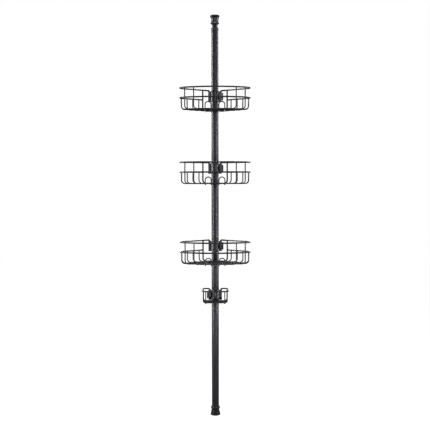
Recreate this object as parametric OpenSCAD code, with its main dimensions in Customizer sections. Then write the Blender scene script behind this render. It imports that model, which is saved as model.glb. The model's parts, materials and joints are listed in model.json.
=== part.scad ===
// Shower caddy: a tension pole with three corner baskets and a soap dish.
// Millimetres. The origin is the centre of the foot's underside, +Z is up the pole,
// and the baskets stand out towards -Y. A "reach" is a distance in front of the pole's axis.

/* [Pole] */
// Overall height, floor face to ceiling face
total_h = 1864; // [1700:1:1950]
// Outside diameter of the pole's tubes
pole_d = 32; // [30:0.5:32]
// Wall of the pole's tubes
pole_wall = 1; // [0.8:0.1:1.2]
// Height of the joint between the lower and middle tubes
seam_low_z = 570; // [450:1:620]
// Height of the joint between the middle and upper tubes
seam_high_z = 1155; // [1000:1:1200]
// Outside diameter of the telescoping inner tube
inner_d = 25.4; // [24:0.1:25.5]
// Widest diameter of the rubber foot
foot_d = 44.7; // [42:0.1:50]
// Diameter of the ceiling pad
pad_d = 42.4; // [41:0.1:50]

/* [Levels] */
// Height of the top basket's rim
basket_1_z = 1516.5; // [1480:0.5:1560]
// Height of the middle basket's rim
basket_2_z = 1183; // [1150:0.5:1220]
// Height of the bottom basket's rim
basket_3_z = 822; // [800:0.5:860]
// Height of the soap dish's rim
dish_z = 594; // [560:1:620]

/* [Basket] */
// Half of the basket's width, to the rim wire's centre
half_w = 157.8; // [150:0.1:165]
// Radius of the rounded side tips
tip_r = 52; // [45:1:56]
// Reach of the point where the two straight back edges would meet
apex_reach = -35; // [-38:1:-33]
// Reach of the front arc's centre
arc_reach = -5; // [-10:1:0]
// Rim wire diameter
rim_d = 5.5; // [4:0.1:5.5]
// Diameter of the thinner upright wires
wire_d = 4; // [3:0.1:4]
// Hook wire diameter
hook_d = 3.6; // [3:0.1:3.8]
// Drop from the rim to the middle ring
middle_drop = 44.5; // [40:0.5:50]
// Drop from the rim to the floor wires
floor_drop = 96; // [90:0.5:100]
// Drop from the rim to the crown of a hook loop
hook_drop = 66.8; // [62:0.1:70]
// Distance of a hook's centre from the middle
hook_x = 30.5; // [28:0.1:33]
// Centre radius of a hook loop
hook_r = 13.2; // [12:0.1:14]

/* [Soap dish] */
// Half of the dish's width, to the rim wire's centre
dish_half_w = 59.2; // [56:0.1:62]
// Reach of the dish's front rim
dish_front = 118; // [110:1:125]
// Corner radius of the dish's rim
dish_corner_r = 14; // [10:1:18]
// Dish rim wire diameter
dish_rim_d = 5; // [4:0.1:5]
// Dish floor wire diameter
dish_wire_d = 3.7; // [3:0.1:3.8]
// Drop from the dish's rim to its floor wires
dish_floor_drop = 53; // [48:0.5:58]
// Distance of a support wire from the middle
support_x = 43.5; // [40:0.5:46]

/* [Clamp] */
// Height of a clamp collar
collar_h = 47; // [44:0.5:48]
// Outside diameter of the collar's sleeve
collar_d = 41; // [38.8:0.1:41]
// Distance of a wire socket from the middle
socket_x = 26; // [25.5:0.1:26.5]
// Knob diameter
knob_d = 35; // [33:0.5:36]
// Knob thickness
knob_t = 6.5; // [6:0.1:8]

/* [Hidden] */
BASKETS = [1, 2, 3];
CLAMPED = ["basket_1", "basket_2", "basket_3", "dish"];
POLE_NODES = ["foot_pad", "foot_collar", "tube_lower", "tube_middle", "tube_upper", "coupler_lower",
    "coupler_upper", "guide_bush", "lock_collar", "inner_tube", "tube_slider", "spring_seat", "cap_spring",
    "ceiling_cup", "ceiling_pad"];
WIRE_NODES = [for (i = BASKETS) each [for (part = ["top_ring", "middle_ring", "frame_wires", "floor_wires",
    "hook_wires"]) str("basket_", i, "_", part)]];
DISH_NODES = ["dish_top_ring", "dish_floor_wires", "dish_support_wires"];
CLAMP_NODES = [for (owner = CLAMPED) each [for (part = ["collar", "liner", "knob", "screw", "nut"])
    str(owner, "_", part)]];
$fn = 64;

bronze = [0.17, 0.16, 0.18];
black = [0.07, 0.07, 0.08];
steel = [0.6, 0.6, 0.62];

// Fits and joints
fit = 0.05;          // radial clearance of a running fit
close_fit = 0.02;    // radial clearance of two pieces that stay together
clear = 0.3;         // air between pieces that move past each other
seam_gap = 0.1;      // air between pieces that butt together
weld_gap = 0.05;     // air between two welded wires
cut = 1;             // how far a cutter runs past a face
lap = 0.2;           // how far a straight rod runs into the bend beside it
lap_r = 0.01;        // how much fatter a bend is than the rod

// Pole
pole_r = pole_d / 2;
bore_r = pole_r - pole_wall;
inner_r = inner_d / 2;
inner_wall = 1.2;
foot_h = 30;
foot_collar_top = 42.4;
tube_start = 8;
tube_top = total_h - 72;
coupler_len = 120;
coupler_wall = 1;
pad_t = 11;
pad_round = 4.5;
cup_top = total_h - pad_t;
cup_base = cup_top - 32;
cup_roof = 3;
lock_top = tube_top + 14.8;
inner_top = cup_base + 12;
inner_bottom = 1085;
bush_len = 36;
spigot_r = 13.8;
spigot_h = 12;
slider_len = 20;
slider_floor = 2;
seat_z = 1775;
seat_t = 10;
spring_top = cup_top - cup_roof;
spring_r = 8.4;
spring_wire_r = 0.9;
spring_turns = 9;

// Basket outline
rim_r = rim_d / 2;
tip_x = half_w - tip_r;
tip_reach = apex_reach + tip_x + tip_r * sqrt(2);
front_r = norm([tip_x, tip_reach - arc_reach]) + tip_r;
front_half_angle = atan2(tip_x, tip_reach - arc_reach);
edge_end_x = tip_x + tip_r / sqrt(2);
end_bend_r = 7;
corner_bend_r = 15;
back_wire_x = 56.35;
middle_end_x = 57;
tip_wire_x = 135.1;
front_wire_x = 94.7;
back_floor_xs = [74.2, 101.3, 126.6];
tip_floor_x = 151.3;
wire_rise = 1;       // how far an upright runs past the centre of its ring

// Hooks
hook_plane = 228;
hook_back = 22;
hook_bend_r = 6;

// Dish
dish_rim_r = dish_rim_d / 2;
dish_back = apex_reach + socket_x;
dish_floor_x = dish_half_w - dish_rim_r - dish_wire_d / 2 - weld_gap;
dish_floor_reaches = [22, 43, 64, 85, 106];
support_back = 16;
dish_bend_r = 11;
support_bend_r = 6;

// Clamp
collar_drop = 4;
liner_r = pole_r + 1.5;
collar_bore_r = liner_r + fit;
ear_in = 15;
ear_out = 31;
ear_front = 6;
ear_back = -16;
ear_round = 2;
socket_reach = apex_reach + socket_x;
socket_depth = 36;
mouth_grow = 1.4;    // how much wider a socket's mouth is, for the wire's bend
screw_r = 3;
nut_af = 10;
nut_t = 5;
nut_x = 18.5;
knob_x = 31.4;
knob_roof = 2;
clamp_mid = -collar_drop - collar_h / 2;

// A rod along +Z. It runs on by a lap into the bend at each end that has one
module rod(length, d, start = lap, end = lap) {
    translate([0, 0, -start]) cylinder(h = start + length + end, d = d);
}

// A bend in the XY plane, from +X round by angle
module bend(radius, d, angle) {
    rotate_extrude(angle = angle) translate([radius, 0]) circle(r = d / 2 + lap_r);
}

// An upright bend from +X round to +Z
module upright_bend(radius, d, angle) {
    rotate([90, 0, 0]) bend(radius, d, angle);
}

module both_sides() {
    for (side = [0, 1]) mirror([side, 0, 0]) children();
}

// A U wire across the basket: its ends stand at +-x and its floor lies at z = 0
module u_wire(x, reach, rise, d, radius) {
    translate([0, -reach, 0]) {
        both_sides() {
            translate([x, 0, radius]) rod(rise - radius, d, end = 0);
            translate([x - radius, 0, radius]) rotate([90, 0, 0]) rotate([0, 0, -90]) bend(radius, d, 90);
        }
        translate([-(x - radius), 0, 0]) rotate([0, 90, 0]) rod(2 * (x - radius), d);
    }
}

// Reach of a wire of radius r at x, welded inside the straight back edge
function edge_reach(x, r) = apex_reach + x + (rim_r + r + weld_gap) * sqrt(2);

// Reach of a wire of radius r at x, welded inside the rounded tip; side is -1 behind, +1 in front
function tip_wire_reach(x, r, side) =
    tip_reach + side * sqrt(pow(tip_r - rim_r - r - weld_gap, 2) - pow(x - tip_x, 2));

// Reach of a wire of radius r at x, welded inside the front arc
function front_reach(x, r) = arc_reach + sqrt(pow(front_r - rim_r - r - weld_gap, 2) - pow(x, 2));

// The corner outline without its rear ends: front arc, rounded tips and straight back edges to edge_x
module corner_ring(edge_x) {
    sweep = 2 * front_half_angle + 2 * lap / front_r * 180 / PI;
    translate([0, -arc_reach, 0]) rotate([0, 0, -90 - sweep / 2])
        rotate_extrude(angle = sweep) translate([front_r, 0]) circle(r = rim_r);
    both_sides() {
        translate([tip_x, -tip_reach, 0]) rotate([0, 0, front_half_angle - 90])
            bend(tip_r, rim_d, 135 - front_half_angle);
        translate([edge_x, -apex_reach - edge_x, 0]) rotate([0, 0, -45]) rotate([0, 90, 0])
            rod((edge_end_x - edge_x) * sqrt(2), rim_d);
    }
}

module top_ring(z) {
    bend_x = socket_x + end_bend_r / sqrt(2);
    color(bronze) translate([0, 0, z]) {
        corner_ring(bend_x);
        both_sides() {
            translate([bend_x, -apex_reach - bend_x, -end_bend_r]) rotate([0, 0, -45])
                rotate([90, 0, 0]) rotate([0, 0, 90]) bend(end_bend_r, rim_d, 90);
            translate([socket_x, -socket_reach, -end_bend_r]) mirror([0, 0, 1])
                rod(socket_depth - end_bend_r, rim_d, end = 0);
        }
    }
}

module middle_ring(z) {
    color(bronze) translate([0, 0, z - middle_drop]) corner_ring(middle_end_x);
}

// The U wires that rise to the top ring
module frame_wires(z) {
    rise = floor_drop + wire_rise;
    tip_reach_1 = tip_wire_reach(tip_wire_x, wire_d / 2, 1);
    color(bronze) translate([0, 0, z - floor_drop]) {
        u_wire(back_wire_x, edge_reach(back_wire_x, rim_r), rise, rim_d, corner_bend_r);
        u_wire(tip_wire_x, tip_reach_1, rise, wire_d, corner_bend_r);
        u_wire(front_wire_x, front_reach(front_wire_x, wire_d / 2), rise, wire_d, corner_bend_r);
    }
}

// The U wires that rise only to the middle ring
module floor_wires(z) {
    rise = floor_drop - middle_drop + wire_rise;
    color(bronze) translate([0, 0, z - floor_drop]) {
        for (x = back_floor_xs) u_wire(x, edge_reach(x, wire_d / 2), rise, wire_d, corner_bend_r);
        for (side = [-1, 1])
            u_wire(tip_floor_x, tip_wire_reach(tip_floor_x, wire_d / 2, side), rise, wire_d, corner_bend_r);
    }
}

// One leg of a hook: back under the floor, a bend, and up to the loop
module hook_leg(leg_z, loop_z) {
    translate([0, -hook_back, leg_z]) rotate([90, 0, 0])
        rod(hook_plane - hook_bend_r - hook_back, hook_d, start = 0);
    translate([0, -hook_plane + hook_bend_r, leg_z + hook_bend_r]) rotate([0, 0, -90])
        rotate([90, 0, 0]) rotate([0, 0, -90]) bend(hook_bend_r, hook_d, 90);
    translate([0, -hook_plane, leg_z + hook_bend_r]) rod(loop_z - leg_z - hook_bend_r, hook_d);
}

module hook_wires(z) {
    leg_z = -floor_drop - rim_r - hook_d / 2 - weld_gap;
    loop_z = -hook_drop - hook_r;
    color(bronze) translate([0, 0, z]) both_sides() translate([hook_x, 0, 0]) {
        for (side = [-1, 1]) translate([side * hook_r, 0, 0]) hook_leg(leg_z, loop_z);
        translate([0, -hook_plane, loop_z]) upright_bend(hook_r, hook_d, 180);
    }
}

module dish_top_ring(z) {
    corner_x = dish_half_w - dish_corner_r;
    front_y = -dish_front + dish_corner_r;
    back_y = -dish_back - dish_corner_r;
    bend_x = socket_x + end_bend_r;
    color(bronze) translate([0, 0, z]) {
        both_sides() {
            translate([corner_x, front_y, 0]) rotate([0, 0, -90]) bend(dish_corner_r, dish_rim_d, 90);
            translate([dish_half_w, front_y, 0]) rotate([-90, 0, 0]) rod(back_y - front_y, dish_rim_d);
            translate([corner_x, back_y, 0]) bend(dish_corner_r, dish_rim_d, 90);
            translate([bend_x, -dish_back, 0]) rotate([0, 90, 0]) rod(corner_x - bend_x, dish_rim_d);
            translate([bend_x, -dish_back, -end_bend_r]) rotate([90, 0, 0]) rotate([0, 0, 90])
                bend(end_bend_r, dish_rim_d, 90);
            translate([socket_x, -dish_back, -end_bend_r]) mirror([0, 0, 1])
                rod(socket_depth - end_bend_r, dish_rim_d, end = 0);
        }
        translate([-corner_x, -dish_front, 0]) rotate([0, 90, 0]) rod(2 * corner_x, dish_rim_d);
    }
}

module dish_floor_wires(z) {
    color(bronze) translate([0, 0, z - dish_floor_drop])
        for (reach = dish_floor_reaches)
            u_wire(dish_floor_x, reach, dish_floor_drop + wire_rise, dish_wire_d, dish_bend_r);
}

// Two J wires: down the front from the rim and back under the floor
module dish_support_wires(z) {
    reach = dish_front - dish_rim_r - dish_wire_d / 2 - weld_gap;
    leg_z = -dish_floor_drop - dish_wire_d - weld_gap;
    color(bronze) translate([0, 0, z]) both_sides() translate([support_x, 0, 0]) {
        translate([0, -reach, leg_z + support_bend_r])
            rod(wire_rise - leg_z - support_bend_r, dish_wire_d, end = 0);
        translate([0, -reach + support_bend_r, leg_z + support_bend_r]) rotate([0, 0, -90])
            rotate([90, 0, 0]) rotate([0, 0, -90]) bend(support_bend_r, dish_wire_d, 90);
        translate([0, -reach + support_bend_r, leg_z]) rotate([-90, 0, 0])
            rod(reach - support_bend_r - support_back, dish_wire_d, end = 0);
    }
}

// A block with its four upright edges rounded
module round_block(x0, x1, y0, y1, h, r) {
    for (x = [x0 + r, x1 - r], y = [y0 + r, y1 - r]) translate([x, y, 0]) cylinder(h = h, r = r);
    translate([x0 + r, y0, 0]) cube([x1 - x0 - 2 * r, y1 - y0, h]);
    translate([x0, y0 + r, 0]) cube([x1 - x0, y1 - y0 - 2 * r, h]);
}

// The collar: sleeve, two ears, wire sockets, screw hole and nut pocket
module collar(z, wire_d, knob_side) {
    color(bronze) translate([0, 0, z - collar_drop - collar_h]) difference() {
        union() {
            cylinder(h = collar_h, d = collar_d);
            both_sides() round_block(ear_in, ear_out, -ear_front, -ear_back, collar_h, ear_round);
        }
        translate([0, 0, -cut]) cylinder(h = collar_h + 2 * cut, r = collar_bore_r);
        both_sides() translate([socket_x, -socket_reach, collar_h + collar_drop - socket_depth - cut])
            cylinder(h = collar_h, r = wire_d / 2 + fit);
        both_sides() translate([socket_x, -socket_reach, collar_h - end_bend_r + collar_drop])
            cylinder(h = end_bend_r - collar_drop + cut, r1 = wire_d / 2 + fit, r2 = wire_d / 2 + mouth_grow);
        translate([0, 0, collar_h / 2]) mirror([1 - knob_side, 0, 0]) rotate([0, 90, 0]) {
            cylinder(h = ear_out + cut, r = screw_r + clear);
            cylinder(h = nut_x + nut_t + seam_gap, d = (nut_af + clear) / cos(30), $fn = 6);
        }
    }
}

// The split sleeve between collar and pole
module liner(z) {
    slit = 4;
    color(black) translate([0, 0, z - collar_drop - collar_h]) difference() {
        cylinder(h = collar_h, r = liner_r);
        translate([0, 0, -cut]) cylinder(h = collar_h + 2 * cut, r = pole_r + fit);
        translate([-slit / 2, 0, -cut]) cube([slit, liner_r + cut, collar_h + 2 * cut]);
    }
}

// Places a knob's pieces on their axis, which points along +X or -X
module on_knob_axis(z, knob_side) {
    translate([0, 0, z + clamp_mid]) mirror([1 - knob_side, 0, 0]) rotate([0, 90, 0]) children();
}

module knob(z, knob_side) {
    flutes = 16;
    flute_r = 2.2;
    flute_depth = 0.9;
    rim_w = 3.5;
    hub_d = 18;
    dish_depth = 1.2;
    color(bronze) on_knob_axis(z, knob_side) translate([0, 0, knob_x]) difference() {
        cylinder(h = knob_t, d = knob_d);
        for (i = [0:flutes - 1]) rotate([0, 0, (i + 0.5) * 360 / flutes])
            translate([knob_d / 2 + flute_r - flute_depth, 0, -cut])
                cylinder(h = knob_t + 2 * cut, r = flute_r);
        translate([0, 0, knob_t - dish_depth]) difference() {
            cylinder(h = dish_depth + cut, d = knob_d - 2 * rim_w);
            translate([0, 0, -cut]) cylinder(h = dish_depth + 3 * cut, d = hub_d);
        }
        translate([0, 0, -cut]) cylinder(h = knob_t - knob_roof + cut, r = screw_r + close_fit);
    }
}

module screw(z, knob_side) {
    tip_x = collar_bore_r + fit;
    color(steel) on_knob_axis(z, knob_side) translate([0, 0, tip_x])
        cylinder(h = knob_x + knob_t - knob_roof - seam_gap - tip_x, r = screw_r);
}

module nut(z, knob_side) {
    color(steel) on_knob_axis(z, knob_side) translate([0, 0, nut_x]) difference() {
        cylinder(h = nut_t, d = nut_af / cos(30), $fn = 6);
        translate([0, 0, -cut]) cylinder(h = nut_t + 2 * cut, r = screw_r + fit);
    }
}

module tube(z0, z1, r, wall) {
    color(bronze) translate([0, 0, z0]) difference() {
        cylinder(h = z1 - z0, r = r);
        translate([0, 0, -cut]) cylinder(h = z1 - z0 + 2 * cut, r = r - wall);
    }
}

// The rubber foot: a flat face, a rounded flare, and a taper to a waist round the tube
module foot_pad() {
    flare_r = foot_d / 2;
    edge_r = 5;
    flare_z = 6.5;
    taper_z = 10.5;
    taper_r = flare_r - 1.5;
    neck_z = 19;
    neck_r = 19;
    waist_z = 25;
    waist_r = 17.5;
    color(black) rotate_extrude() difference() {
        union() {
            square([flare_r - edge_r, 2 * edge_r]);
            translate([flare_r - edge_r, edge_r]) circle(r = edge_r);
            polygon([[0, edge_r], [flare_r - clear, flare_z], [taper_r, taper_z], [neck_r, neck_z],
                [waist_r, waist_z], [waist_r, foot_h], [0, foot_h]]);
        }
        translate([-cut, tube_start]) square([pole_r + fit + cut, foot_h]);
        translate([-2 * edge_r, -cut]) square([2 * edge_r, 3 * edge_r]);
    }
}

// Half section of a disc of radius r with its two outer corners rounded
module bead_profile(r, h, round_r) {
    square([r - round_r, h]);
    translate([0, round_r]) square([r, h - 2 * round_r]);
    for (z = [round_r, h - round_r]) translate([r - round_r, z]) circle(r = round_r);
}

module foot_collar() {
    base = foot_h + clear;
    bead_r = 20.4;
    color(bronze) translate([0, 0, base]) difference() {
        rotate_extrude() bead_profile(bead_r, foot_collar_top - base, 4);
        translate([0, 0, -cut]) cylinder(h = foot_collar_top, r = pole_r + fit);
    }
}

module tube_lower() {
    tube(tube_start, seam_low_z - seam_gap, pole_r, pole_wall);
}

module tube_middle() {
    tube(seam_low_z + seam_gap, seam_high_z - seam_gap, pole_r, pole_wall);
}

module tube_upper() {
    tube(seam_high_z + seam_gap, tube_top, pole_r, pole_wall);
}

// The sleeve inside a joint of two tubes
module coupler(z) {
    tube(z - coupler_len / 2, z + coupler_len / 2, bore_r - fit, coupler_wall);
}

// The bush in the pole's mouth, with a spigot that the lock collar turns on
module guide_bush() {
    color(black) translate([0, 0, tube_top - bush_len]) difference() {
        union() {
            cylinder(h = bush_len, r = bore_r - fit);
            cylinder(h = bush_len + spigot_h, r = spigot_r);
        }
        translate([0, 0, -cut]) cylinder(h = bush_len + spigot_h + 2 * cut, r = inner_r + fit);
    }
}

module lock_collar() {
    collar_r = 17.1;
    base = tube_top + clear;
    color(bronze) translate([0, 0, base]) difference() {
        rotate_extrude() bead_profile(collar_r, lock_top - base, 3.5);
        translate([0, 0, -cut]) cylinder(h = lock_top - base + 2 * cut, r = inner_r + clear);
        translate([0, 0, -cut]) cylinder(h = spigot_h + cut, r = spigot_r + fit);
    }
}

module inner_tube() {
    tube(inner_bottom, inner_top, inner_r, inner_wall);
}

// The slider that keeps the inner tube's lower end central
module tube_slider() {
    color(black) translate([0, 0, inner_bottom - slider_floor]) difference() {
        cylinder(h = slider_len, r = bore_r - coupler_wall - clear);
        translate([0, 0, slider_floor]) cylinder(h = slider_len, r = inner_r + close_fit);
        translate([0, 0, -cut]) cylinder(h = slider_len, r = inner_r - inner_wall);
    }
}

// The plug in the inner tube that the spring stands on
module spring_seat() {
    color(black) translate([0, 0, seat_z]) cylinder(h = seat_t, r = inner_r - inner_wall - close_fit);
}

// Ring i of the spring's wire, as points round the coil
function coil_ring(i, steps, height, sides) =
    let (turn = i * spring_turns * 360 / steps, z = spring_wire_r + (height - 2 * spring_wire_r) * i / steps)
    [for (k = [0:sides - 1]) let (a = 360 * k / sides, r = spring_r + spring_wire_r * cos(a))
        [r * cos(turn), r * sin(turn), z + spring_wire_r * sin(a)]];

module cap_spring() {
    sides = 6;
    steps = spring_turns * 16;
    base = seat_z + seat_t + seam_gap;
    height = spring_top - seam_gap - base;
    points = [for (i = [0:steps]) each coil_ring(i, steps, height, sides)];
    walls = [for (i = [0:steps - 1], k = [0:sides - 1]) let (n = (k + 1) % sides)
        [i * sides + k, (i + 1) * sides + k, (i + 1) * sides + n, i * sides + n]];
    first = [for (k = [0:sides - 1]) k];
    last = [for (k = [sides - 1:-1:0]) steps * sides + k];
    color(steel) translate([0, 0, base]) polyhedron(points, concat([first], walls, [last]));
}

// The cup: a bevelled flange, a waist, a flaring skirt, and a blind bore that slides on the inner tube
module ceiling_cup() {
    bevel_r = 15.5;
    flange_r = 20.6;
    flange_z = 3.5;
    flange_t = 2.5;
    waist_z = 11.5;
    waist_r = 16.4;
    skirt_top_r = 18.8;
    height = cup_top - seam_gap - cup_base;
    color(bronze) translate([0, 0, cup_base]) difference() {
        rotate_extrude()
            polygon([[0, 0], [bevel_r, 0], [flange_r, flange_z], [flange_r, flange_z + flange_t],
                [waist_r, waist_z], [skirt_top_r, height], [0, height]]);
        translate([0, 0, -cut]) cylinder(h = spring_top - cup_base + cut, r = inner_r + fit);
    }
}

module ceiling_pad() {
    color(black) translate([0, 0, cup_top]) rotate_extrude() bead_profile(pad_d / 2, pad_t, pad_round);
}

foot_pad();
foot_collar();
tube_lower();
tube_middle();
tube_upper();
coupler(seam_low_z);  // coupler_lower
coupler(seam_high_z);  // coupler_upper
guide_bush();
lock_collar();
inner_tube();
tube_slider();
spring_seat();
cap_spring();
ceiling_cup();
ceiling_pad();

BASKET_Z = [basket_1_z, basket_2_z, basket_3_z];
for (i = BASKETS) {
    z = BASKET_Z[i - 1];
    top_ring(z);
    middle_ring(z);
    frame_wires(z);
    floor_wires(z);
    hook_wires(z);
}

dish_top_ring(dish_z);
dish_floor_wires(dish_z);
dish_support_wires(dish_z);

// Each clamp: rim height, wire diameter and the side that its knob is on (1 is +X, 0 is -X)
CLAMPS = [[basket_1_z, rim_d, 1], [basket_2_z, rim_d, 1], [basket_3_z, rim_d, 1], [dish_z, dish_rim_d, 0]];
for (i = [0:3]) {
    z = CLAMPS[i][0];
    knob_side = CLAMPS[i][2];
    collar(z, CLAMPS[i][1], knob_side);
    liner(z);
    knob(z, knob_side);
    screw(z, knob_side);
    nut(z, knob_side);
}
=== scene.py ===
"""The looks of a tension-pole shower caddy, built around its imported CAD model. Metres, in the CAD frame."""

import json
import math
import random

import bmesh
import bpy
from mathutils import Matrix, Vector


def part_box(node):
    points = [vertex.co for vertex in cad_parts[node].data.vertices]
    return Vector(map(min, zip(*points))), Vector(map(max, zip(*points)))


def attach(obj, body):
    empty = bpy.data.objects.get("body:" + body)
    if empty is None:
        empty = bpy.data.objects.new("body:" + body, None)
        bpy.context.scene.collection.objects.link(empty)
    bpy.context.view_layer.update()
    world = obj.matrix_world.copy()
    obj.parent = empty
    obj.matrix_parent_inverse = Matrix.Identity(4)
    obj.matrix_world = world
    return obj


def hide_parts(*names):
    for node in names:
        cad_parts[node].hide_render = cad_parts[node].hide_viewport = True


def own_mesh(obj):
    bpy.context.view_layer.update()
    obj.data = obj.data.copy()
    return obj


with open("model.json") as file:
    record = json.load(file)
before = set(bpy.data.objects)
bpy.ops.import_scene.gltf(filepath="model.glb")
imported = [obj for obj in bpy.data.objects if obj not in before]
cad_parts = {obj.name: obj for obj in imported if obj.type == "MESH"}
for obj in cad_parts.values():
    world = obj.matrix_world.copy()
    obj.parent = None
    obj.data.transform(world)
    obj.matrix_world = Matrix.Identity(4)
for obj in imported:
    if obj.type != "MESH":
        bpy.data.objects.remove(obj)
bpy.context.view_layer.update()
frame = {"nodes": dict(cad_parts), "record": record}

MM = 0.001
QUARTER = math.pi / 2
BASKETS = ("basket_1", "basket_2", "basket_3")
CLAMPED = BASKETS + ("dish",)

# Wires, as in the CAD model
RIM_R = 2.75 * MM
WIRE_R = 2 * MM
HOOK_R = 1.8 * MM
DISH_RIM_R = 2.5 * MM
DISH_WIRE_R = 1.85 * MM
WIRE_SIDES = 20
BEND_STEPS = 10          # points in a right-angled bend

# Basket outline
TIP_R = 52 * MM
APEX_REACH = -35 * MM    # reach is the distance in front of the pole's axis
ARC_REACH = -5 * MM
SOCKET_X = 26 * MM
END_BEND = 7 * MM
CORNER_BEND = 15 * MM
HOOK_BEND = 6 * MM
MIDDLE_END_X = 57 * MM
MIDDLE_DROP = 44.5 * MM
FLOOR_DROP = 96 * MM
FRONT_REACH = 100 * MM   # uprights nearer the pole than this stand against the straight back edges
HOOK_X = 30.5 * MM       # the middle of a hook's loop
HOOK_LOOP_R = 13.2 * MM
SOCKET_DEPTH = 36 * MM
WIRE_RISE = 1 * MM
WELD_GAP = 0.05 * MM
DISH_BEND = 11 * MM
SUPPORT_BEND = 6 * MM

# Clamp
COLLAR_R = 20.5 * MM
COLLAR_BORE = 17.55 * MM
KNOB_R = 17.5 * MM

# Pole
TUBE_R = 16.05 * MM      # the bore of what fits over the pole
NECK_R = 12.75 * MM      # the bore of what fits over the inner tube
AXIS_HOLE = 0.05 * MM    # turned pieces stop this far from the axis
GROOVE_DEPTH = 0.7 * MM  # in the foot's and the pad's faces


# ---------- mesh helpers ----------

def new_piece(name, bm, body, material, replaced=()):
    """Turns a bmesh into a smooth-shaded piece that rides on a body."""
    bmesh.ops.recalc_face_normals(bm, faces=bm.faces)
    mesh = bpy.data.meshes.new(name)
    bm.to_mesh(mesh)
    bm.free()
    mesh.polygons.foreach_set("use_smooth", [True] * len(mesh.polygons))
    mesh.set_sharp_from_angle(angle=math.radians(38))
    mesh.materials.append(material)
    piece = bpy.data.objects.new(name, mesh)
    bpy.context.scene.collection.objects.link(piece)
    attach(piece, body)
    if replaced:
        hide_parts(*replaced)
    return piece


def ring_of_faces(bm, lower, upper):
    for i in range(len(lower)):
        j = (i + 1) % len(lower)
        bm.faces.new((lower[i], lower[j], upper[j], upper[i]))


def sweep(bm, path, radius, sides=WIRE_SIDES):
    """A round wire along a path, with a slightly domed end where it was cut off."""
    direction = (path[1] - path[0]).normalized()
    side = direction.orthogonal().normalized()
    rings = []
    for i, point in enumerate(path):
        before = path[max(i - 1, 0)]
        after = path[min(i + 1, len(path) - 1)]
        heading = (after - before).normalized()
        side = direction.rotation_difference(heading) @ side
        direction = heading
        rings.append((point, side.copy(), heading.cross(side), radius))
    dome = ((0.97, 0.12), (0.8, 0.3), (0.5, 0.42))     # (radius, height) as shares of the wire's radius
    (p0, s0, u0, _), (p1, s1, u1, _) = rings[0], rings[-1]
    h0, h1 = (path[1] - path[0]).normalized(), (path[-1] - path[-2]).normalized()
    depth = dome[-1][1] * radius
    first = [(p0 + h0 * (depth - d * radius), s0, u0, k * radius) for k, d in reversed(dome)]
    last = [(p1 - h1 * (depth - d * radius), s1, u1, k * radius) for k, d in dome]
    rings[0] = (p0 + h0 * depth, s0, u0, radius)
    rings[-1] = (p1 - h1 * depth, s1, u1, radius)
    loops = []
    for point, across, up, r in first + rings + last:
        loop = []
        for k in range(sides):
            a = 2 * math.pi * k / sides
            loop.append(bm.verts.new(point + (across * math.cos(a) + up * math.sin(a)) * r))
        loops.append(loop)
    for a, b in zip(loops, loops[1:]):
        ring_of_faces(bm, a, b)
    bm.faces.new(loops[0])
    bm.faces.new(loops[-1])


def bent(corners, radius):
    """A polyline with each inner corner rounded to an arc."""
    path = [Vector(corners[0])]
    for before, corner, after in zip(corners, corners[1:], corners[2:]):
        corner = Vector(corner)
        to_a = (Vector(before) - corner).normalized()
        to_b = (Vector(after) - corner).normalized()
        half = to_a.angle(to_b) / 2
        centre = corner + (to_a + to_b).normalized() * (radius / math.sin(half))
        start = corner + to_a * (radius / math.tan(half)) - centre
        end = corner + to_b * (radius / math.tan(half)) - centre
        steps = max(3, round(BEND_STEPS * start.angle(end) / QUARTER))
        for k in range(steps + 1):
            path.append(centre + start.slerp(end, k / steps).normalized() * radius)
    path.append(Vector(corners[-1]))
    return path


def lathe(bm, profile, segments, ripple=None):
    """Turns a closed profile of (radius, z) about the pole's axis.

    ripple(angle, r, z) may change a radius.
    """
    loops = []
    for r, z in profile:
        loop = []
        for k in range(segments):
            a = 2 * math.pi * k / segments
            rr = ripple(a, r, z) if ripple else r
            loop.append(bm.verts.new((rr * math.cos(a), rr * math.sin(a), z)))
        loops.append(loop)
    for a, b in zip(loops, loops[1:] + loops[:1]):
        ring_of_faces(bm, a, b)


def softened(profile, radius, steps=4):
    """A closed (r, z) profile with every corner rounded, by up to radius or what its edges leave room for."""
    out = []
    count = len(profile)
    for i in range(count):
        before, corner, after = (Vector(profile[(i + d) % count]) for d in (-1, 0, 1))
        to_a, to_b = before - corner, after - corner
        cut = min(radius, to_a.length * 0.45, to_b.length * 0.45)
        start = corner + to_a.normalized() * cut
        end = corner + to_b.normalized() * cut
        for k in range(steps + 1):
            t = k / steps
            out.append(start.lerp(corner, t).lerp(corner.lerp(end, t), t)[:])
    return out


def arc(centre_r, centre_z, radius, start, step, count):
    """Profile points round a circle: count of them, from start degrees, step degrees apart."""
    angles = [math.radians(start + step * k) for k in range(count)]
    return [(centre_r + radius * math.cos(a), centre_z + radius * math.sin(a)) for a in angles]


def groove(middle, z, depth, way):
    """Profile points of a groove in a face at height z.

    way is 1 where the profile runs outwards and -1 where it runs inwards.
    """
    mouth, bottom = 0.7 * way, 0.5 * way
    return [((middle - mouth) * MM, z), ((middle - bottom) * MM, z + depth),
            ((middle + bottom) * MM, z + depth), ((middle + mouth) * MM, z)]


uneven = random.Random(7)


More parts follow.
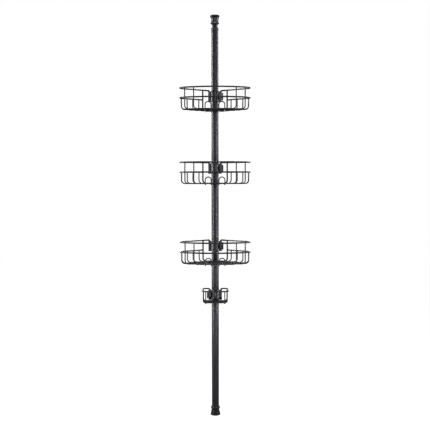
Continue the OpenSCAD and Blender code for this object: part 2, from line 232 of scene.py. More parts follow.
def blob(bm, centre, axes):
    """A weld bead: a small uneven ball stretched along three axes."""
    rings, sides = 5, 10
    size_spread, lump_spread = 0.12, 0.06
    squash = 1 + uneven.uniform(-size_spread, size_spread)
    loops = []
    for i in range(1, rings):
        polar = math.pi * i / rings
        loop = []
        for k in range(sides):
            a = 2 * math.pi * k / sides
            unit = (math.sin(polar) * math.cos(a), math.sin(polar) * math.sin(a), math.cos(polar))
            bulge = squash * (1 + uneven.uniform(-lump_spread, lump_spread))
            offset = sum((ax * c for ax, c in zip(axes, unit)), Vector())
            loop.append(bm.verts.new(centre + offset * bulge))
        loops.append(loop)
    for a, b in zip(loops, loops[1:]):
        ring_of_faces(bm, a, b)
    for pole, loop in ((axes[2], loops[0]), (-axes[2], loops[-1])):
        tip = bm.verts.new(centre + pole * squash)
        for k in range(sides):
            bm.faces.new((tip, loop[k], loop[(k + 1) % sides]))


# ---------- materials ----------

def material(name):
    """A new material, its nodes and links, and its shader."""
    made = bpy.data.materials.new(name)
    made.use_nodes = True
    return made, made.node_tree.nodes, made.node_tree.links, made.node_tree.nodes["Principled BSDF"]


def add(nodes, kind, **values):
    """A new node with its inputs or settings given by name."""
    node = nodes.new(kind)
    for key, value in values.items():
        if key in node.inputs:
            node.inputs[key].default_value = value
        else:
            setattr(node, key, value)
    return node


def noise(nodes, links, coordinates, scale, detail=4.0, roughness=0.55):
    node = add(nodes, "ShaderNodeTexNoise", Scale=scale, Detail=detail, Roughness=roughness)
    links.new(coordinates, node.inputs["Vector"])
    return node


def ramp(nodes, links, source, stops):
    """A colour ramp of (position, colour) stops fed by a value."""
    node = nodes.new("ShaderNodeValToRGB")
    elements = node.color_ramp.elements
    while len(elements) < len(stops):
        elements.new(0.5)
    for element, (position, colour) in zip(elements, stops):
        element.position = position
        element.color = (*colour, 1)
    links.new(source, node.inputs["Fac"])
    return node


def span(nodes, links, source, low, high):
    """A value from low to high as source goes from 0.3 to 0.7."""
    node = add(nodes, "ShaderNodeMapRange")
    for key, value in zip(("From Min", "From Max", "To Min", "To Max"), (0.3, 0.7, low, high)):
        node.inputs[key].default_value = value
    links.new(source, node.inputs["Value"])
    return node


def bump_chain(nodes, links, shader, layers):
    """Stacks bumps of (height socket, distance in metres, strength) into the shader's normal."""
    normal = None
    for height, distance, strength in layers:
        node = add(nodes, "ShaderNodeBump", Strength=strength, Distance=distance)
        links.new(height, node.inputs["Height"])
        if normal is not None:
            links.new(normal, node.inputs["Normal"])
        normal = node.outputs["Normal"]
    links.new(normal, shader.inputs["Normal"])


def coated(name, tones, rough, peel):
    """Satin powder coat: orange peel, a fine metallic speck, and cloudy changes of tone and gloss."""
    speck_tone, speck_share = 0.5, 0.05
    made, nodes, links, shader = material(name)
    at = nodes.new("ShaderNodeTexCoord").outputs["Object"]
    cloud = noise(nodes, links, at, scale=38, detail=5)
    tone = ramp(nodes, links, cloud.outputs["Fac"], [(0.32, tones[0]), (0.68, tones[1])])
    specks = add(nodes, "ShaderNodeTexVoronoi", Scale=1600.0, feature="F1")
    links.new(at, specks.inputs["Vector"])
    spark = ramp(nodes, links, specks.outputs["Distance"], [(0.0, (speck_tone,) * 3), (0.22, (0, 0, 0))])
    mix = add(nodes, "ShaderNodeMix", data_type="RGBA", blend_type="ADD", clamp_result=True)
    mix.inputs["Factor"].default_value = speck_share
    links.new(tone.outputs["Color"], mix.inputs["A"])
    links.new(spark.outputs["Color"], mix.inputs["B"])
    links.new(mix.outputs["Result"], shader.inputs["Base Color"])
    patches = noise(nodes, links, at, scale=120, detail=3)
    gloss = span(nodes, links, patches.outputs["Fac"], rough - 0.05, rough + 0.06)
    links.new(gloss.outputs["Result"], shader.inputs["Roughness"])
    fine = noise(nodes, links, at, scale=950, detail=2)
    bumps = [(fine.outputs["Fac"], peel, 0.5), (cloud.outputs["Fac"], 2 * peel, 0.25)]
    bump_chain(nodes, links, shader, bumps)
    shader.inputs["Metallic"].default_value = 0.0
    shader.inputs["Specular IOR Level"].default_value = 0.55
    shader.inputs["Coat Weight"].default_value = 0.12
    shader.inputs["Coat Roughness"].default_value = 0.2
    return made


def moulded(name, tones, rough):
    """Moulded plastic: a fine spark-eroded grain and a faint change of gloss from wear and handling."""
    made, nodes, links, shader = material(name)
    at = nodes.new("ShaderNodeTexCoord").outputs["Object"]
    cloud = noise(nodes, links, at, scale=55, detail=4)
    tone = ramp(nodes, links, cloud.outputs["Fac"], [(0.3, tones[0]), (0.7, tones[1])])
    links.new(tone.outputs["Color"], shader.inputs["Base Color"])
    patches = noise(nodes, links, at, scale=90)
    gloss = span(nodes, links, patches.outputs["Fac"], rough - 0.06, rough + 0.08)
    links.new(gloss.outputs["Result"], shader.inputs["Roughness"])
    grain = noise(nodes, links, at, scale=1500, detail=2)
    bumps = [(grain.outputs["Fac"], 0.04 * MM, 0.5), (cloud.outputs["Fac"], 0.1 * MM, 0.2)]
    bump_chain(nodes, links, shader, bumps)
    shader.inputs["Specular IOR Level"].default_value = 0.7
    return made


def rubber(name, tones):
    """Black rubber: satin, with a mealy surface and a little pale dust."""
    made, nodes, links, shader = material(name)
    at = nodes.new("ShaderNodeTexCoord").outputs["Object"]
    dust = noise(nodes, links, at, scale=210, detail=6, roughness=0.7)
    tone = ramp(nodes, links, dust.outputs["Fac"], [(0.35, tones[0]), (0.62, tones[1]), (0.8, tones[2])])
    links.new(tone.outputs["Color"], shader.inputs["Base Color"])
    patches = noise(nodes, links, at, scale=70)
    gloss = span(nodes, links, patches.outputs["Fac"], 0.32, 0.5)
    links.new(gloss.outputs["Result"], shader.inputs["Roughness"])
    grain = noise(nodes, links, at, scale=1200, detail=3)
    bumps = [(grain.outputs["Fac"], 0.08 * MM, 0.6), (dust.outputs["Fac"], 0.1 * MM, 0.3)]
    bump_chain(nodes, links, shader, bumps)
    shader.inputs["Specular IOR Level"].default_value = 0.4
    return made


def plated(name, tones, rough):
    """Zinc-plated steel: drawn scratches along the part and a cloudy passivated tone."""
    made, nodes, links, shader = material(name)
    at = nodes.new("ShaderNodeTexCoord").outputs["Object"]
    stretch = add(nodes, "ShaderNodeMapping")
    stretch.inputs["Scale"].default_value = (60, 900, 900)
    links.new(at, stretch.inputs["Vector"])
    scratch = noise(nodes, links, stretch.outputs["Vector"], scale=1.0, detail=3)
    cloud = noise(nodes, links, at, scale=160, detail=5)
    tone = ramp(nodes, links, cloud.outputs["Fac"], [(0.3, tones[0]), (0.7, tones[1])])
    links.new(tone.outputs["Color"], shader.inputs["Base Color"])
    gloss = span(nodes, links, scratch.outputs["Fac"], rough - 0.08, rough + 0.12)
    links.new(gloss.outputs["Result"], shader.inputs["Roughness"])
    bump_chain(nodes, links, shader, [(scratch.outputs["Fac"], 0.02 * MM, 0.5)])
    shader.inputs["Metallic"].default_value = 1.0
    return made


TUBE_COAT = coated("tube_powder_coat", ((0.019, 0.0176, 0.0215), (0.028, 0.026, 0.0315)), 0.32, 0.05 * MM)
WIRE_COAT = coated("wire_powder_coat", ((0.012, 0.0112, 0.0125), (0.0185, 0.0172, 0.019)), 0.36, 0.035 * MM)
BRONZE = moulded("bronze_plastic", ((0.0185, 0.0178, 0.021), (0.0285, 0.0268, 0.0315)), 0.26)
BLACK = moulded("black_plastic", ((0.006, 0.006, 0.0065), (0.0105, 0.01, 0.011)), 0.45)
RUBBER = rubber("foot_rubber", ((0.0055, 0.0055, 0.0055), (0.009, 0.009, 0.0092), (0.02, 0.02, 0.02)))
ZINC = plated("zinc_steel", ((0.42, 0.43, 0.45), (0.6, 0.6, 0.6)), 0.34)

CAD_MATERIAL = {
    "coated_tube": TUBE_COAT,
    "coated_wire": WIRE_COAT,
    "bronze_plastic": BRONZE,
    "black_plastic": BLACK,
    "rubber": RUBBER,
    "zinc_steel": ZINC,
}
for sub in frame["record"]["subparts"]:
    node = frame["nodes"][sub["node"]]
    node.data.materials.clear()
    node.data.materials.append(CAD_MATERIAL[sub["material_slot"]])


# ---------- pole ----------

def turned(name, body, coat, profile, radius, segments=96, ripple=None):
    """A turned piece that takes the place of the CAD node of the same name."""
    bm = bmesh.new()
    lathe(bm, softened(profile, radius), segments, ripple)
    return new_piece(name + "_turned", bm, body, coat, [name])


def tube_profile(node, wall):
    """A tube's wall in section, from the CAD node's box."""
    low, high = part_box(node)
    return [(high.x - wall, low.z), (high.x, low.z), (high.x, high.z), (high.x - wall, high.z)]


for node in ("tube_lower", "tube_middle", "tube_upper"):
    turned(node, "pole", TUBE_COAT, tube_profile(node, 1 * MM), 0.35 * MM, 128)
turned("inner_tube", "inner_tube", TUBE_COAT, tube_profile("inner_tube", 1.2 * MM), 0.4 * MM)


def foot_pad():
    """Rubber foot: a rounded flare with tread grooves in its face, a taper, and a waist with a lip."""
    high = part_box("foot_pad")[1]
    r, top = high.x, high.z
    socket_floor, edge, lip_r = 8 * MM, 5 * MM, 17.45 * MM
    profile = [(AXIS_HOLE, socket_floor), (AXIS_HOLE, 0)]
    for middle in (5.5, 9.0, 12.5):
        profile += groove(middle, 0, GROOVE_DEPTH, 1)
    profile += [(r - edge - 1 * MM, 0)] + arc(r - edge, edge, edge, -90, 12, 10)
    taper = ((20.8, 10.5), (19.9, 14.8), (18.95, 19), (18.1, 22.4))
    profile += [(taper_r * MM, z * MM) for taper_r, z in taper]
    profile += [(lip_r, 25 * MM), (lip_r - 0.2 * MM, top - 2.6 * MM), (lip_r, top - 1.8 * MM),
                (lip_r, top), (TUBE_R, top), (TUBE_R, socket_floor)]
    turned("foot_pad", "pole", RUBBER, profile, 0.5 * MM)


def beaded(node, body, coat, bore, edge, ripple=None, segments=96, recess=None):
    """A ring with well-rounded outer edges.

    recess is the (radius, depth) of a wider bore at its lower end.
    """
    low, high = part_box(node)
    profile = [(bore, low.z), (high.x - edge, low.z)]
    if recess:
        wide_r, depth = recess
        profile[:1] = [(bore, low.z + depth), (wide_r, low.z + depth), (wide_r, low.z)]
    profile += arc(high.x - edge, low.z + edge, edge, -78.75, 11.25, 8)
    profile += arc(high.x - edge, high.z - edge, edge, 0, 11.25, 9)
    profile += [(bore, high.z)]
    turned(node, body, coat, profile, 0.4 * MM, segments, ripple)


def grip_ribs(count, depth, r_from, z0, z1):
    """Fine upright ribs round a ring's outside, fading out at its top and bottom."""
    fade_height = 3 * MM

    def ripple(angle, r, z):
        if r < r_from:
            return r
        fade = max(0.0, min(1.0, min(z - z0, z1 - z) / fade_height))
        return r - depth * fade * (0.5 + 0.5 * math.cos(count * angle))
    return ripple


def ceiling_cup():
    """A bevelled flange, a waist, and a skirt that flares to the pad."""
    low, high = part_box("ceiling_cup")
    base, top = low.z, high.z
    waist_r, waist_h, flare, roof = 16.35, 12.5 * MM, 2.4, 3 * MM
    profile = [(NECK_R, base), (15.4 * MM, base), (18.1 * MM, base + 1.8 * MM), (high.x, base + 3.5 * MM),
               (high.x, base + 6 * MM), (18.4 * MM, base + 8.7 * MM), (16.9 * MM, base + 10.7 * MM),
               (waist_r * MM, base + waist_h)]
    skirt_z, skirt_h = base + waist_h, top - base - waist_h
    profile += [((waist_r + flare * t ** 1.2) * MM, skirt_z + skirt_h * t) for t in (0.25, 0.5, 0.75, 1.0)]
    profile += [(AXIS_HOLE, top), (AXIS_HOLE, top - roof), (NECK_R, top - roof)]
    turned("ceiling_cup", "cap", BRONZE, profile, 0.9 * MM)


def ceiling_pad():
    """Rubber pad with rounded edges and ring grooves in the face that meets the ceiling."""
    low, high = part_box("ceiling_pad")
    edge, waist = 4.5 * MM, 0.35 * MM
    profile = [(AXIS_HOLE, low.z), (high.x - edge, low.z)]
    profile += arc(high.x - edge, low.z + edge, edge, -75, 15, 6)
    profile += [(high.x - waist, (low.z + high.z) / 2)]
    profile += arc(high.x - edge, high.z - edge, edge, 0, 15, 7)
    for middle in (15.0, 11.2, 7.4, 3.6):
        profile += groove(middle, high.z, -GROOVE_DEPTH, -1)
    profile += [(AXIS_HOLE, high.z)]
    turned("ceiling_pad", "cap", RUBBER, profile, 0.35 * MM)


def cap_spring():
    """The coil between the inner tube's plug and the cap, drawn at one length, though the real one shortens
    with the cap's travel.
    """
    low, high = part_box("cap_spring")
    wire_r, coil_r, closed_pitch = 0.9 * MM, 8.4 * MM, 1.9 * MM
    turns, steps = 9, 24
    length = high.z - low.z
    open_pitch = (length - 2 * wire_r - 2 * closed_pitch) / (turns - 2)
    path = []
    for k in range(turns * steps + 1):
        turn = k / steps
        rise = closed_pitch * (min(turn, 1) + max(0, turn - turns + 1))
        rise += open_pitch * max(0, min(turn - 1, turns - 2))
        a = 2 * math.pi * turn
        path.append(Vector((coil_r * math.cos(a), coil_r * math.sin(a), low.z + wire_r + rise)))
    bm = bmesh.new()
    sweep(bm, path, wire_r, 12)
    coil = new_piece("cap_spring_coil", bm, "inner_tube", ZINC, ["cap_spring"])
    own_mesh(coil)


foot_pad()
beaded("foot_collar", "pole", BRONZE, bore=TUBE_R, edge=4 * MM)
lock_low, lock_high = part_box("lock_collar")
lock_ribs = grip_ribs(28, 0.45 * MM, 14 * MM, lock_low.z, lock_high.z)
beaded("lock_collar", "lock_collar", BRONZE, bore=13.0 * MM, edge=3.5 * MM,
       ripple=lock_ribs, segments=224, recess=(13.85 * MM, 12 * MM))
ceiling_cup()
ceiling_pad()
cap_spring()


# ---------- baskets ----------

def basket_outline(edge_x, half_w, front):
    """Half of a basket's outline as (x, reach).

    It runs from the rear end at edge_x, round the tip, to the middle of the front.
    """
    tip_x = half_w - TIP_R
    tip_reach = APEX_REACH + tip_x + TIP_R * math.sqrt(2)
    front_r = front - ARC_REACH
    turn = math.atan2(tip_x, tip_reach - ARC_REACH)
    points = [(edge_x, APEX_REACH + edge_x)]
    steps = 26
    for k in range(steps + 1):
        a = math.radians(45) - (math.radians(135) - turn) * k / steps
        points.append((tip_x + TIP_R * math.cos(a), tip_reach - TIP_R * math.sin(a)))
    steps = 22
    for k in range(1, steps + 1):
        a = turn * (1 - k / steps)
        points.append((front_r * math.sin(a), ARC_REACH + front_r * math.cos(a)))
    return points


def mirrored(half):
    """A full path from its half: the half backwards on the left, then forwards on the right."""
    left = [Vector((-p.x, p.y, p.z)) for p in half]
    return left + [p for p in reversed(half)][1:]


def basket_ring(edge_x, half_w, front, z, socketed):
    """A ring round a basket; a socketed one turns down into the collar at its ends."""
    half = [Vector((x, -reach, z)) for x, reach in basket_outline(edge_x, half_w, front)]
    if socketed:
        foot = Vector((SOCKET_X, -(APEX_REACH + SOCKET_X), z - SOCKET_DEPTH))
        corner = Vector((SOCKET_X, -(APEX_REACH + SOCKET_X), z))
        half = bent([foot, corner, half[1]], END_BEND)[:-1] + half[1:]
    return mirrored(half)


def u_wire(x, reach, floor_z, top_z, bend_r):
    """A wire up one side, across under the floor and up the other side."""
    corners = [(-x, -reach, top_z), (-x, -reach, floor_z), (x, -reach, floor_z), (x, -reach, top_z)]
    return bent(corners, bend_r)


def uprights(half_w, front):
    """Every U wire as (x, reach, radius, rises to the rim)."""
    tip_x = half_w - TIP_R
    tip_reach = APEX_REACH + tip_x + TIP_R * math.sqrt(2)
    front_r = front - ARC_REACH

    def on_edge(x, r):
        return APEX_REACH + x + (RIM_R + r + WELD_GAP) * math.sqrt(2)

    def on_tip(x, r, side):
        return tip_reach + side * math.sqrt((TIP_R - RIM_R - r - WELD_GAP) ** 2 - (x - tip_x) ** 2)

    def on_front(x, r):
        return ARC_REACH + math.sqrt((front_r - RIM_R - r - WELD_GAP) ** 2 - x ** 2)

    back, fore, tip, last = (x * MM for x in (56.35, 94.7, 135.1, 151.3))
    tall = [(back, on_edge(back, RIM_R), RIM_R), (tip, on_tip(tip, WIRE_R, 1), WIRE_R),
            (fore, on_front(fore, WIRE_R), WIRE_R)]
    low = [(x * MM, on_edge(x * MM, WIRE_R), WIRE_R) for x in (74.2, 101.3, 126.6)]
    low += [(last, on_tip(last, WIRE_R, side), WIRE_R) for side in (-1, 1)]
    return [(*w, True) for w in tall] + [(*w, False) for w in low]


def hook_paths(z):
    """Each hook: two legs under the floor, bent up into a loop at the front."""
    fore, back, loop_drop, steps = 228 * MM, 22 * MM, 66.8 * MM, 24
    leg_z = z - FLOOR_DROP - RIM_R - HOOK_R - WELD_GAP
    loop_z = z - loop_drop - HOOK_LOOP_R
    for side in (-1, 1):
        x = side * HOOK_X
        legs = []
        for edge in (-1, 1):
            leg_x = x + edge * HOOK_LOOP_R
            corners = [(leg_x, -back, leg_z), (leg_x, -fore, leg_z), (leg_x, -fore, loop_z)]
            legs.append(bent(corners, HOOK_BEND))
        loop = []
        for a in (math.pi * k / steps for k in range(1, steps)):
            loop.append(Vector((x - HOOK_LOOP_R * math.cos(a), -fore, loop_z + HOOK_LOOP_R * math.sin(a))))
        yield side, legs[0] + loop + list(reversed(legs[1]))


def wires(name, paths, body):
    """Wires that take the place of the CAD node of the same name."""
    bm = bmesh.new()
    for path, radius in paths:
        sweep(bm, path, radius)
    return new_piece(name + "_drawn", bm, body, WIRE_COAT, [name])


def weld(bm, at, towards, size):
    """A bead between an upright of radius size and the ring beside it."""
    out = Vector(towards).normalized()
    along = Vector((0, 0, 1))
    across = out.cross(along)
    blob(bm, Vector(at) + out * size, (across * size * 1.2, out * size * 0.75, along * size * 1.05))


def basket(name):
    """One basket's rings, uprights, floor and hooks, with a bead at each weld."""
    low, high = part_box(name + "_top_ring")
    z = high.z - RIM_R
    half_w = high.x - RIM_R
    front = -low.y - RIM_R
    floor_z = z - FLOOR_DROP
    middle_z = z - MIDDLE_DROP
    wires(name + "_top_ring", [(basket_ring(SOCKET_X, half_w, front, z, True), RIM_R)], name)
    wires(name + "_middle_ring", [(basket_ring(MIDDLE_END_X, half_w, front, middle_z, False), RIM_R)], name)
    tip = Vector((half_w - TIP_R, -(APEX_REACH + half_w - TIP_R + TIP_R * math.sqrt(2)), 0))
    tall, short = [], []
    beads = bmesh.new()
    layout = uprights(half_w, front)
    for x, reach, r, to_rim in layout:
        top = (z if to_rim else middle_z) + WIRE_RISE
        (tall if to_rim else short).append((u_wire(x, reach, floor_z, top, CORNER_BEND), r))
        for side in (-1, 1):
            if x < tip.x and reach > FRONT_REACH:
                towards = Vector((x, -reach + ARC_REACH, 0))
            elif reach < FRONT_REACH:
                towards = Vector((1, 1, 0))
            else:
                towards = Vector((x, -reach, 0)) - tip
            towards.x *= side
            for level in ([z, middle_z] if to_rim else [middle_z]):
                weld(beads, (side * x, -reach, level), towards, r * 0.95)
    wires(name + "_frame_wires", tall, name)
    wires(name + "_floor_wires", short, name)
    hooks = list(hook_paths(z))
    wires(name + "_hook_wires", [(path, HOOK_R) for _, path in hooks], name)
    bead_h, bead_drop = 0.9 * MM, 0.2 * MM
    for _, reach, r, _ in layout:
        for side, _ in hooks:
            for edge in (-1, 1):
                at = Vector((side * HOOK_X + edge * HOOK_LOOP_R, -reach, floor_z - r - bead_drop))
                blob(beads, at, (Vector((HOOK_R, 0, 0)), Vector((0, r * 0.9, 0)), Vector((0, 0, bead_h))))
    new_piece(name + "_weld_beads", beads, name, WIRE_COAT)


for name in BASKETS:
    basket(name)


# ---------- soap dish ----------

def dish():
    """The soap dish's rim, cross wires and support wires, with a bead at each weld."""
    low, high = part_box("dish_top_ring")
    z = high.z - DISH_RIM_R
    half_w = high.x - DISH_RIM_R
    front = -low.y - DISH_RIM_R
    back = APEX_REACH + SOCKET_X
    corner_r, depth, support_x, support_end, bead_h = 14 * MM, 53 * MM, 43.5 * MM, 16 * MM, 0.8 * MM
    floor_z = z - depth
    foot = (SOCKET_X, -back, z - SOCKET_DEPTH)
    inner = (SOCKET_X, -back, z)
    rear = (half_w, -back, z)
    fore = (half_w, -front, z)
    start = bent([foot, inner, rear], END_BEND)[:-1]
    half = start + bent([start[-1], rear, fore, (0, -front, z)], corner_r)[1:]
    wires("dish_top_ring", [(mirrored(half), DISH_RIM_R)], "dish")
    floor_x = half_w - DISH_RIM_R - DISH_WIRE_R - WELD_GAP
    reaches = [reach * MM for reach in (22, 43, 64, 85, 106)]
    across = [(u_wire(floor_x, reach, floor_z, z + WIRE_RISE, DISH_BEND), DISH_WIRE_R) for reach in reaches]
    wires("dish_floor_wires", across, "dish")
    fore_leg = front - DISH_RIM_R - DISH_WIRE_R - WELD_GAP
    leg_z = floor_z - 2 * DISH_WIRE_R - WELD_GAP
    legs = []
    for x in (-support_x, support_x):
        corners = [(x, -fore_leg, z + WIRE_RISE), (x, -fore_leg, leg_z), (x, -support_end, leg_z)]
        legs.append(bent(corners, SUPPORT_BEND))
    wires("dish_support_wires", [(leg, DISH_WIRE_R) for leg in legs], "dish")
    beads = bmesh.new()
    cross_axes = (Vector((DISH_WIRE_R, 0, 0)), Vector((0, DISH_WIRE_R, 0)), Vector((0, 0, bead_h)))
    for reach in reaches:
        for side in (-1, 1):
            weld(beads, (side * floor_x, -reach, z), (side, 0, 0), DISH_WIRE_R)
            blob(beads, Vector((side * support_x, -reach, floor_z - DISH_WIRE_R)), cross_axes)
    for side in (-1, 1):
        weld(beads, (side * support_x, -fore_leg, z), (0, -1, 0), DISH_WIRE_R)
    new_piece("dish_weld_beads", beads, "dish", WIRE_COAT)


dish()


# ---------- clamps ----------

def collar_outline():
    """The collar's plan, as points round it: a sleeve with an ear on each side, its corners rounded."""
    ear_front, ear_back, ear_in, ear_out = -6 * MM, 16 * MM, 15 * MM, 31 * MM
    front_x = math.sqrt(COLLAR_R ** 2 - ear_front ** 2)
    back_y = math.sqrt(COLLAR_R ** 2 - ear_in ** 2)
    a_front, a_back = math.atan2(ear_front, front_x), math.atan2(back_y, ear_in)
    gap = math.radians(5)
    right = []
    steps = 16
    for k in range(steps + 1):
        a = -QUARTER + (a_front - gap + QUARTER) * k / steps
        right.append(Vector((COLLAR_R * math.cos(a), COLLAR_R * math.sin(a), 0)))
    ear = [(front_x, ear_front), (ear_out, ear_front), (ear_out, ear_back), (ear_in, ear_back),
           (ear_in, back_y), (COLLAR_R * math.cos(a_back + gap), COLLAR_R * math.sin(a_back + gap))]
    ear_bend = 1.0 * MM
    right += bent([right[-1]] + [Vector((x, y, 0)) for x, y in ear], ear_bend)[1:-1]
    steps = 14
    for k in range(steps + 1):
        a = a_back + gap + (QUARTER - a_back - gap) * k / steps
        right.append(Vector((COLLAR_R * math.cos(a), COLLAR_R * math.sin(a), 0)))
    left = [Vector((-p.x, p.y, 0)) for p in reversed(right)]
    return right + left[1:-1]


def inset(points, depth):
    """A closed plan moved inwards along its own normals."""
    out = []
    for i, p in enumerate(points):
        along = points[(i + 1) % len(points)] - points[i - 1]
        inward = Vector((-along.y, along.x, 0)).normalized()
        out.append(p + inward * depth)
    return out


def collar(name):
    """The clamp's collar: rounded edges, a stepped band round each end, a lip round each wire socket."""
    low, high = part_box(name + "_collar")
    plan = collar_outline()
    bm = bmesh.new()
    edge, band, step, bore_edge, socket_gap, sides = 1.2 * MM, 4.5 * MM, 0.35 * MM, 0.4 * MM, 0.05 * MM, 96
    levels = [(low.z + edge * (1 - math.cos(a)), edge * (1 - math.sin(a)))
              for a in (math.radians(22.5 * k) for k in range(5))]
    levels += [(low.z + band, 0), (low.z + band + step, step)]
    levels += [(high.z - band - step, step), (high.z - band, 0)]
    levels += [(high.z - z + low.z, depth) for z, depth in reversed(levels[:5])]
    loops = [[bm.verts.new((p.x, p.y, z)) for p in inset(plan, depth)] for z, depth in levels]
    for a, b in zip(loops, loops[1:]):
        ring_of_faces(bm, a, b)
    bore = []
    bore_levels = ((low.z, bore_edge), (low.z + bore_edge, 0), (high.z - bore_edge, 0), (high.z, bore_edge))
    for z, grow in bore_levels:
        r = COLLAR_BORE + grow
        angles = [2 * math.pi * k / sides for k in range(sides)]
        bore.append([bm.verts.new((r * math.cos(a), r * math.sin(a), z)) for a in angles])
    for a, b in zip(bore, bore[1:]):
        ring_of_faces(bm, a, b)
    for outer, inner in ((loops[0], bore[0]), (loops[-1], bore[-1])):
        edges = [bm.edges.get((ring[i], ring[i - 1])) for ring in (outer, inner) for i in range(len(ring))]
        bmesh.ops.triangle_fill(bm, use_beauty=True, edges=edges)
    for side in (-1, 1):
        lip_at = Vector((side * SOCKET_X, -(APEX_REACH + SOCKET_X), high.z))
        lip(bm, lip_at, (DISH_RIM_R if name == "dish" else RIM_R) + socket_gap)
    new_piece(name + "_collar_moulded", bm, name, BRONZE, [name + "_collar"])


def lip(bm, at, bore):
    """A low rounded ring round a wire where it enters its socket."""
    foot, top, wide, narrow, sides = -0.6 * MM, 0.9 * MM, 1.6 * MM, 1.2 * MM, 32
    corners = [(bore, foot), (bore + wide, foot), (bore + narrow, top), (bore, top)]
    angles = [2 * math.pi * k / sides for k in range(sides)]
    loops = []
    for r, z in softened(corners, 0.4 * MM):
        loops.append([bm.verts.new(at + Vector((r * math.cos(a), r * math.sin(a), z))) for a in angles])
    for a, b in zip(loops, loops[1:] + loops[:1]):
        ring_of_faces(bm, a, b)


def knob(name, side):
    """A fluted knob: rounded lobes, a dished face, and a domed hub."""
    low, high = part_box(name + "_knob")
    inner, outer = (low.x, high.x) if side > 0 else (-high.x, -low.x)
    axis_z = (low.z + high.z) / 2
    thick = outer - inner
    flutes, flute_depth, steps = 16, 1.0 * MM, 10
    count = flutes * steps
    rim = 2.0 * MM
    quarter_turn = [math.radians(15 * k) for k in range(7)]
    # Each ring: radius, height from the inner face, share of the flutes' depth
    rings = [(3.2 * MM, 0, 0), (9 * MM, 0, 0), (9.4 * MM, 0.3 * MM, 0), (13 * MM, 0.3 * MM, 0)]
    rings += [(KNOB_R - rim + rim * math.sin(a), rim * (1 - math.cos(a)), math.sin(a)) for a in quarter_turn]
    rings += [(KNOB_R - rim + rim * math.cos(a), thick - rim * (1 - math.sin(a)), math.cos(a))
              for a in quarter_turn]
    # The outer face from its edge inwards: radius, and how far it is sunk
    dished = ((14.4, 0), (13.9, 0.25), (13.2, 1.1), (12.6, 1.2), (9.8, 1.2), (9.1, 1.05), (8.6, 0.3),
              (8.0, 0.1), (5.0, 0.02), (1.5, 0))
    rings += [(r * MM, thick - sunk * MM, 0) for r, sunk in dished]
    bm = bmesh.new()
    loops = []
    for r, h, share in rings:
        loop = []
        for k in range(count):
            a = 2 * math.pi * k / count
            wave = 0.5 - 0.5 * math.cos(flutes * a)
            rr = r - share * flute_depth * wave ** 1.5
            loop.append(bm.verts.new((side * (inner + h), rr * math.cos(a), axis_z + rr * math.sin(a))))
        loops.append(loop)
    for a, b in zip(loops, loops[1:]):
        ring_of_faces(bm, a, b)
    bm.faces.new(loops[-1])
    bm.faces.new(loops[0])
    new_piece(name + "_knob_moulded", bm, name + "_knob", BRONZE, [name + "_knob"])


for name in CLAMPED:
    collar(name)
    knob(name, -1 if name == "dish" else 1)


# ---------- stage ----------

PRINT_GAMMA = 0.53       # darkens half tones, as a catalogue picture's sharpening does to thin wires
FILL_STRENGTH = 0.5
PAPER_TONES = (0.45, 0.47)
PAPER_GLOW = 1.06
GLOW_SHARE = 0.93        # how much of the paper that the camera sees is glow
COOL = (0.95, 0.97, 1.0)
WARM = (1.0, 0.95, 0.96)


def studio():
    """A backdrop, plain white to the camera and a soft fill to the object, printed with some contrast."""
    view = bpy.context.scene.view_settings
    view.view_transform = "Standard"
    view.gamma = PRINT_GAMMA
    world = bpy.data.worlds.new("studio")
    bpy.context.scene.world = world
    world.use_nodes = True
    nodes, links = world.node_tree.nodes, world.node_tree.links
    fill = nodes["Background"]
    fill.inputs["Color"].default_value = (0.9, 0.93, 1.0, 1)
    fill.inputs["Strength"].default_value = FILL_STRENGTH
    seen = add(nodes, "ShaderNodeBackground")
    seen.inputs["Color"].default_value = (1, 1, 1, 1)
    path = nodes.new("ShaderNodeLightPath")
    mix = nodes.new("ShaderNodeMixShader")
    links.new(path.outputs["Is Camera Ray"], mix.inputs["Fac"])
    links.new(fill.outputs[0], mix.inputs[1])
    links.new(seen.outputs[0], mix.inputs[2])
    links.new(mix.outputs[0], nodes["World Output"].inputs["Surface"])


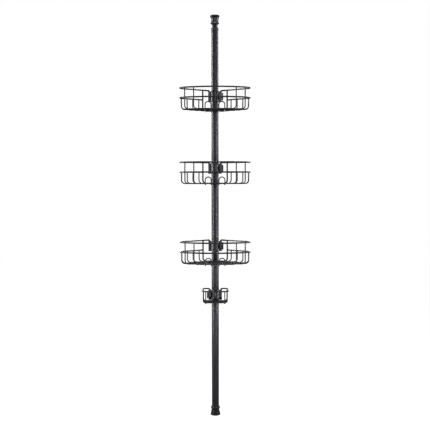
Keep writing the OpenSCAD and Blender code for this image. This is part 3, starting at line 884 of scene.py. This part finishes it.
def paper_floor():
    """A round sheet of white paper just under the foot.

    The camera sees it mostly by a glow of its own, which keeps it white out to the horizon.
    """
    radius, drop = 9.0, 0.2 * MM
    bm = bmesh.new()
    bmesh.ops.create_circle(bm, cap_ends=True, radius=radius, segments=96)
    mesh = bpy.data.meshes.new("studio_floor")
    bm.to_mesh(mesh)
    bm.free()
    ground = bpy.data.objects.new("studio_floor", mesh)
    ground.location.z = -drop
    bpy.context.scene.collection.objects.link(ground)
    made, nodes, links, shader = material("floor_paper")
    at = nodes.new("ShaderNodeTexCoord").outputs["Object"]
    cloud = noise(nodes, links, at, scale=3)
    tones = [(at_fac, (tone,) * 3) for at_fac, tone in zip((0.3, 0.7), PAPER_TONES)]
    tone = ramp(nodes, links, cloud.outputs["Fac"], tones)
    links.new(tone.outputs["Color"], shader.inputs["Base Color"])
    shader.inputs["Roughness"].default_value = 0.9
    shader.inputs["Specular IOR Level"].default_value = 0.1
    glow = nodes.new("ShaderNodeEmission")
    glow.inputs["Strength"].default_value = PAPER_GLOW
    path = nodes.new("ShaderNodeLightPath")
    share = add(nodes, "ShaderNodeMath", operation="MULTIPLY")
    share.inputs[1].default_value = GLOW_SHARE
    links.new(path.outputs["Is Camera Ray"], share.inputs[0])
    mix = nodes.new("ShaderNodeMixShader")
    links.new(share.outputs[0], mix.inputs["Fac"])
    links.new(shader.outputs[0], mix.inputs[1])
    links.new(glow.outputs[0], mix.inputs[2])
    links.new(mix.outputs[0], nodes["Material Output"].inputs["Surface"])
    mesh.materials.append(made)


def softbox(name, at, target, size, power, colour=(1, 1, 1)):
    """A flat rectangular light aimed at a target."""
    data = bpy.data.lights.new(name, "AREA")
    data.shape = "RECTANGLE"
    data.size, data.size_y = size
    data.energy = power
    data.color = colour
    lamp = bpy.data.objects.new(name, data)
    lamp.location = at
    lamp.rotation_euler = (Vector(target) - Vector(at)).to_track_quat("-Z", "Y").to_euler()
    bpy.context.scene.collection.objects.link(lamp)


def camera():
    """The camera, level with the middle basket, tilted down a little."""
    aside, distance, height = -0.25 * MM, 4.7, 1.1206
    tilt, lean = math.radians(2.214), math.radians(0.1)
    data = bpy.data.cameras.new("camera")
    data.sensor_width = 36
    data.lens = 84.44
    cam = bpy.data.objects.new("camera", data)
    cam.location = (aside, -distance, height)
    cam.rotation_euler = (QUARTER - tilt, lean, 0)
    bpy.context.scene.collection.objects.link(cam)
    bpy.context.scene.camera = cam


studio()
paper_floor()
softbox("side_left", (-1.9, 0.12, 1.95), (0, 0, 1.6), (0.9, 1.8), 68, COOL)
softbox("side_right", (1.9, 0.05, 1.95), (0, 0, 1.6), (1.0, 1.8), 52, WARM)
softbox("strip_left", (-1.9, -1.3, 0.75), (0, 0, 0.7), (0.6, 1.5), 45, COOL)
softbox("strip_right", (1.85, -1.45, 0.75), (0, 0, 0.7), (0.5, 1.5), 40, WARM)
softbox("top", (0, -0.6, 3.4), (0, 0, 1.2), (1.6, 1.6), 60)
softbox("fill_front", (0.5, -4.5, 1.9), (0, 0, 0.9), (2.6, 2.2), 80)
softbox("low_left", (-1.9, 0.12, 0.55), (0, 0, 0.6), (0.9, 0.45), 19, COOL)
softbox("low_right", (1.9, 0.12, 0.55), (0, 0, 0.6), (0.9, 0.45), 17, WARM)
softbox("low_front", (0, -3.0, 0.16), (0, 0, 1.2), (2.2, 0.3), 21)
softbox("fill_back", (0, 3.2, 2.2), (0, 0, 1.0), (2.4, 2.0), 90)
camera()
